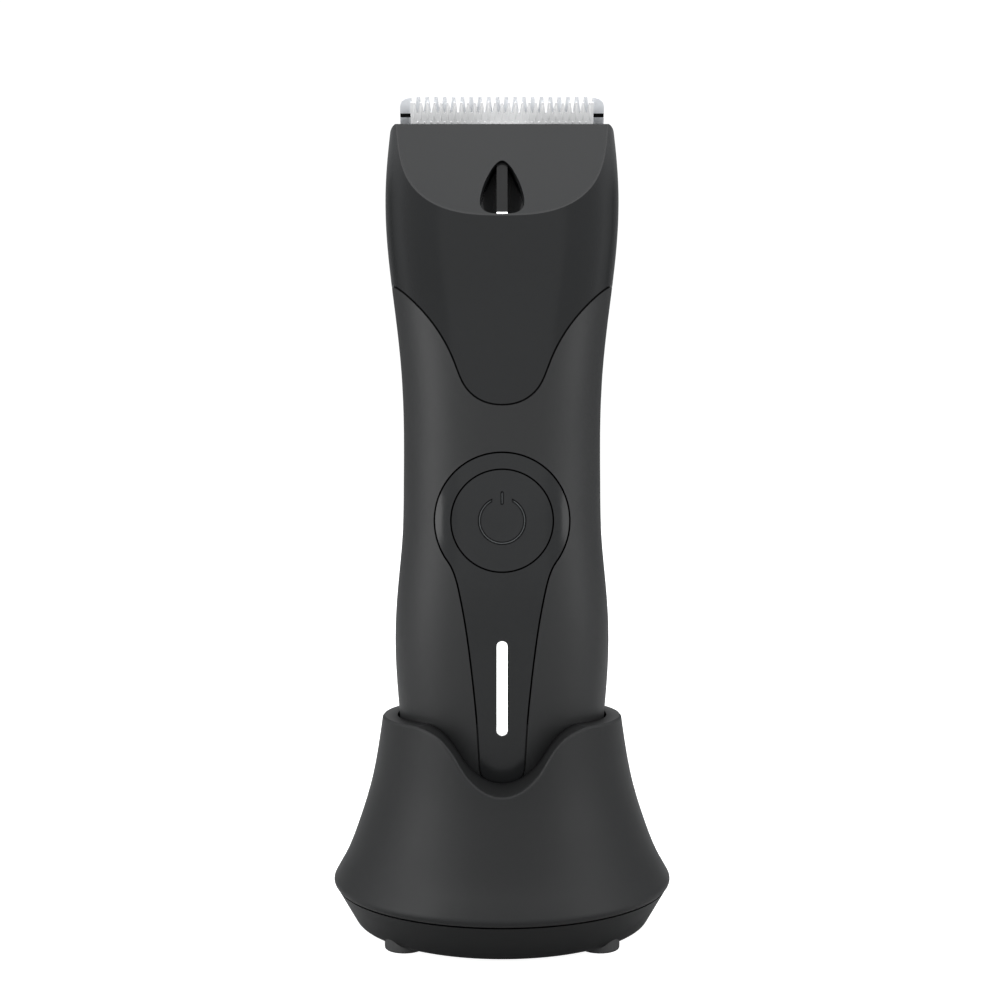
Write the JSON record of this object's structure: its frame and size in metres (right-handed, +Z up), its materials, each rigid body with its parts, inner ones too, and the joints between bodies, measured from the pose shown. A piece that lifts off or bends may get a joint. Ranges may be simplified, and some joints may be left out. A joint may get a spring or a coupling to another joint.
{
  "type": "body groomer",
  "caption": "Cordless body groomer with a wide comb-and-cutter blade, power button and status light, standing in a round flared charging dock.",
  "frame": {"origin": "centre of the dock's footprint on the table, at the feet's undersides", "axes": "+Z up along the standing groomer, -Y towards the front with the power button, +X to the right seen from the front"},
  "size_m": [0.065, 0.0649, 0.1607],
  "materials": {
    "shell_gloss": "gloss",
    "soft_grip": "soft-touch matt",
    "face": "satin",
    "control_black": "gloss",
    "smoked_window": "gloss",
    "light_white": "satin",
    "dock_plastic": "satin gloss",
    "base_plastic": "satin",
    "foot_rubber": "matt",
    "seal_rubber": "matt",
    "blade_steel": "brushed",
    "cutter_ceramic": "satin",
    "carrier_black": "matt",
    "spring_steel": "bright",
    "screw_steel": "black-nickel",
    "driver_nylon": "satin",
    "motor_steel": "zinc-plated",
    "frame_abs": "matt",
    "board_green": "satin",
    "chip_black": "matt",
    "cell_wrap": "gloss",
    "gold_contact": "plated",
    "weight_steel": "raw"
  },
  "bodies": {
    "dock": {"dock_shell": "dock_plastic", "dock_base": "base_plastic", "rubber_feet": "foot_rubber", "base_weight": "weight_steel", "dock_board": "board_green", "charge_port": "spring_steel", "contact_holder": "frame_abs", "base_screws": "screw_steel", "contact_spring_left": "spring_steel", "contact_spring_right": "spring_steel"},
    "contact_left": {"contact_pin_left": "gold_contact"},
    "contact_right": {"contact_pin_right": "gold_contact"},
    "groomer": {"head_shell": "shell_gloss", "face_plate": "face", "light_window": "smoked_window", "light_led": "light_white", "shoulder_seal": "seal_rubber", "front_grip": "soft_grip", "rear_grip": "soft_grip", "control_panel": "control_black", "button_seal": "seal_rubber", "indicator_lens": "light_white", "switch_body": "chip_black", "main_board": "board_green", "board_components": "chip_black", "battery": "cell_wrap", "chassis": "frame_abs", "motor_can": "motor_steel", "motor_endcap": "frame_abs", "head_floor": "frame_abs", "drive_seal": "seal_rubber", "bottom_cap": "soft_grip", "bottom_seal": "seal_rubber", "charge_pads": "gold_contact", "cap_screws": "screw_steel", "hinge_pin": "spring_steel"},
    "button": {"power_button": "control_black", "switch_plunger": "driver_nylon"},
    "crank": {"motor_shaft": "spring_steel", "eccentric_cam": "driver_nylon", "drive_pin": "spring_steel"},
    "blade_unit": {"blade_carrier": "carrier_black", "comb_blade": "blade_steel", "blade_screws": "screw_steel", "cutter_spring": "spring_steel"},
    "cutter": {"cutter_blade": "cutter_ceramic", "cutter_driver": "driver_nylon"}
  },
  "joints": [
    {"name": "groomer_lift", "type": "slide", "parent": "dock", "child": "groomer", "axis": [0, 0, 1], "range_m": [0, 0.06]},
    {"name": "power_button_press", "type": "slide", "parent": "groomer", "child": "button", "axis": [0, 1, 0], "range_m": [0, 0.0004], "stiffness_N_per_m": 900},
    {"name": "contact_left_press", "type": "slide", "parent": "dock", "child": "contact_left", "axis": [0, 0, -1], "range_m": [0, 0.001], "stiffness_N_per_m": 300, "deforming": ["contact_spring_left"]},
    {"name": "contact_right_press", "type": "slide", "parent": "dock", "child": "contact_right", "axis": [0, 0, -1], "range_m": [0, 0.001], "stiffness_N_per_m": 300, "deforming": ["contact_spring_right"]},
    {"name": "motor_spin", "type": "hinge", "parent": "groomer", "child": "crank", "pos_m": [0, 0, 0.11], "axis": [0, 0, 1], "continuous": true},
    {"name": "blade_release", "type": "hinge", "parent": "groomer", "child": "blade_unit", "pos_m": [0, 0.0085, 0.14206], "axis": [-1, 0, 0], "range_deg": [0, 60]},
    {"name": "cutter_slide", "type": "slide", "parent": "blade_unit", "child": "cutter", "axis": [1, 0, 0], "range_m": [-0.0009, 0.0009]}
  ]
}
